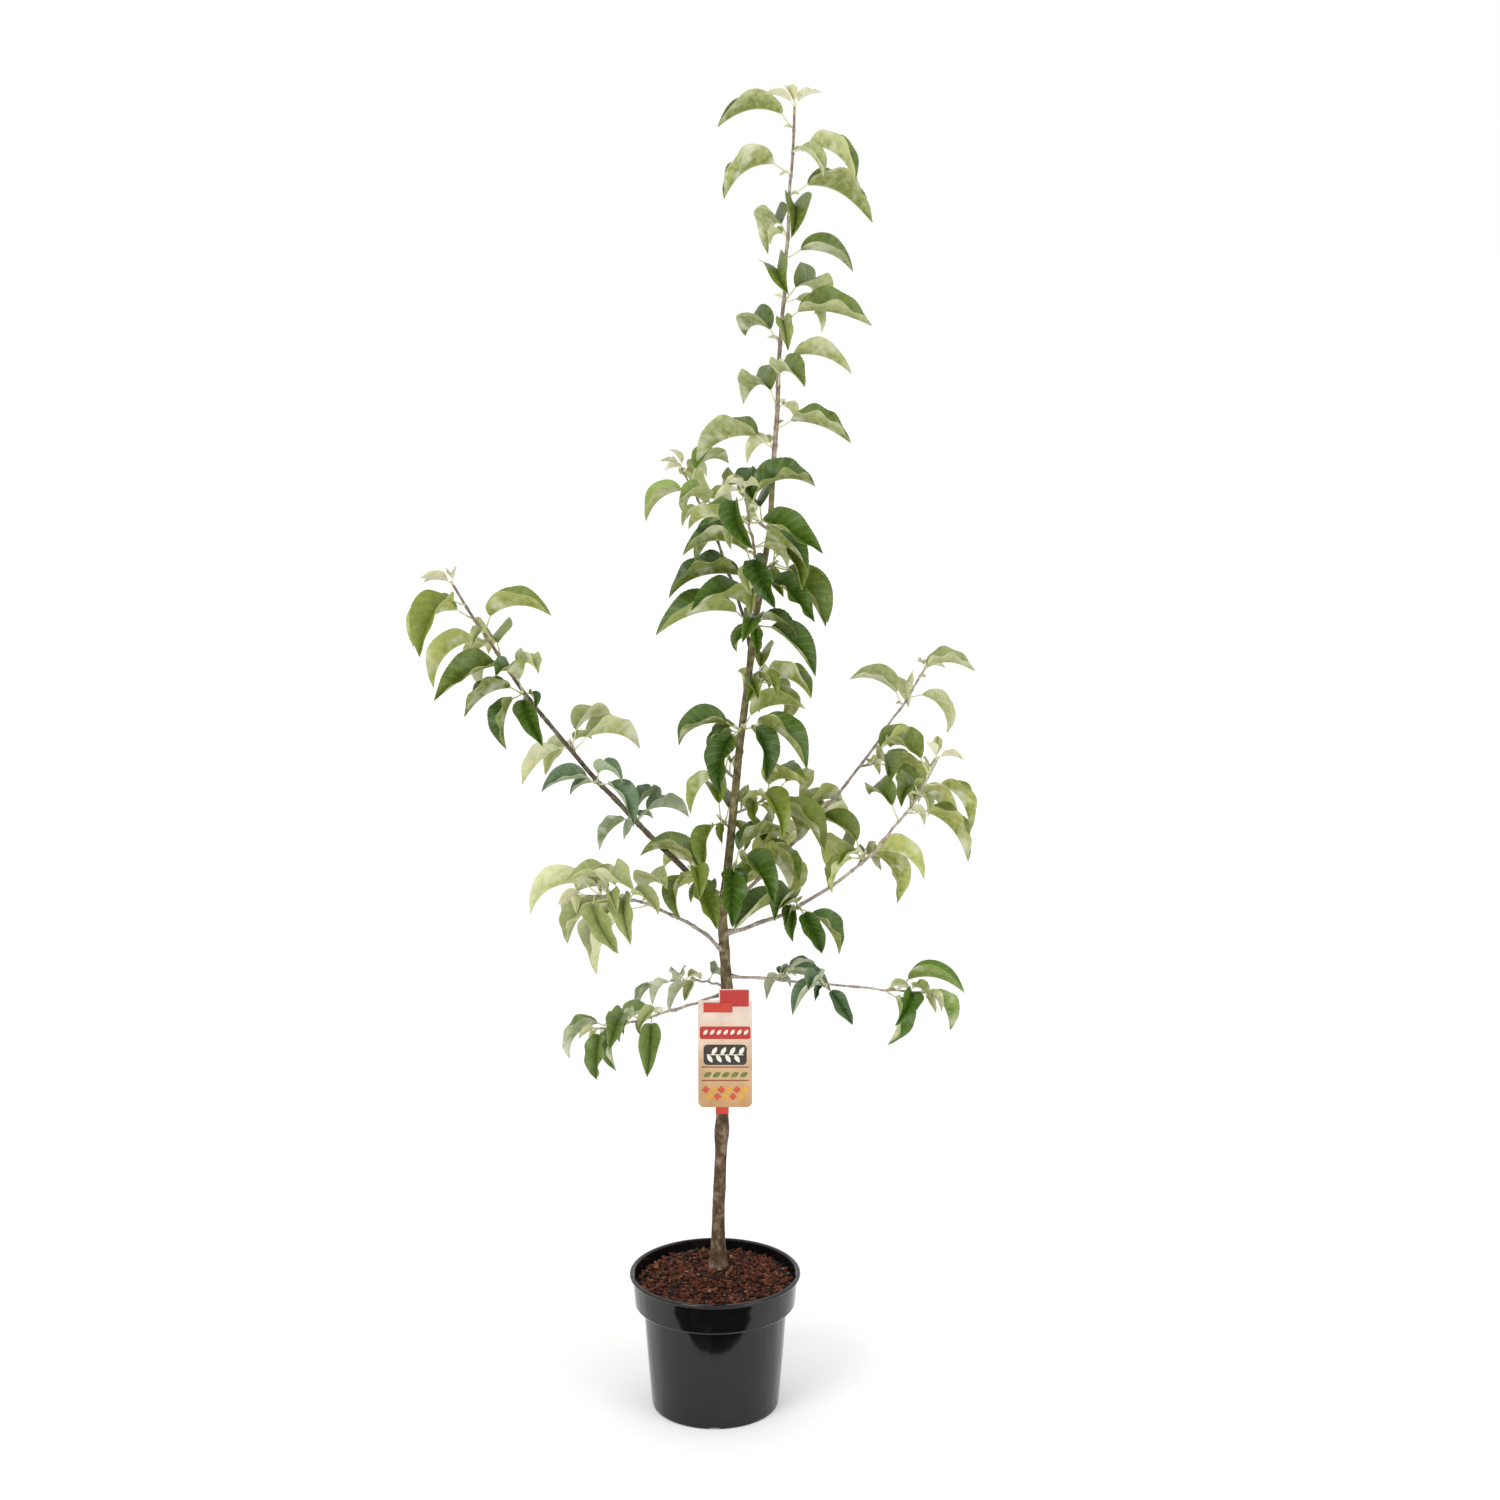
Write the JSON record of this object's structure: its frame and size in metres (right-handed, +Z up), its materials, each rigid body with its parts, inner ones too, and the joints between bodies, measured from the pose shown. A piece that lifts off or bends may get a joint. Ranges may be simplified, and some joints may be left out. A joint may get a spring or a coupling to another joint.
{
  "type": "potted apple tree",
  "caption": "Young apple tree in a black nursery pot, with a slender leader, spreading boughs, drooping leaves and a label strapped to its trunk.",
  "frame": {"origin": "centre of the pot's flat underside, at the surface it stands on", "axes": "+Z up along the tree, -Y towards the side where the label hangs, +X to the label side's right"},
  "size_m": [0.6708, 0.4342, 1.5899],
  "materials": {
    "pot_plastic": "satin",
    "bark_mix": "matte",
    "bark": "matte",
    "leaves": "satin",
    "label_card": "satin",
    "label_strap": "satin"
  },
  "bodies": {
    "root": {"front_left_bough": "bark", "front_left_shoot": "leaves", "label_card": "label_card", "label_strap": "label_strap", "label_tail": "label_strap", "leader_shoot": "leaves", "left_bough": "bark", "left_shoot": "leaves", "left_spur_1": "leaves", "left_spur_2": "leaves", "left_spur_3": "leaves", "left_spur_4": "leaves", "low_back_shoot": "leaves", "low_left_bough": "bark", "low_left_shoot": "leaves", "low_right_bough": "bark", "low_right_shoot": "leaves", "low_right_spur_1": "leaves", "low_right_spur_2": "leaves", "pot": "pot_plastic", "potting_mix": "bark_mix", "right_back_bough": "bark", "right_back_shoot": "leaves", "right_back_spur_1": "leaves", "right_back_spur_2": "leaves", "right_front_bough": "bark", "right_front_shoot": "leaves", "right_front_spur_1": "leaves", "right_front_spur_2": "leaves", "trunk": "bark", "trunk_spur_1": "leaves", "trunk_spur_10": "leaves", "trunk_spur_11": "leaves", "trunk_spur_2": "leaves", "trunk_spur_3": "leaves", "trunk_spur_4": "leaves", "trunk_spur_5": "leaves", "trunk_spur_6": "leaves", "trunk_spur_7": "leaves", "trunk_spur_8": "leaves", "trunk_spur_9": "leaves", "upper_back_bough": "bark", "upper_back_shoot": "leaves", "upper_front_shoot": "leaves"}
  },
  "joints": []
}
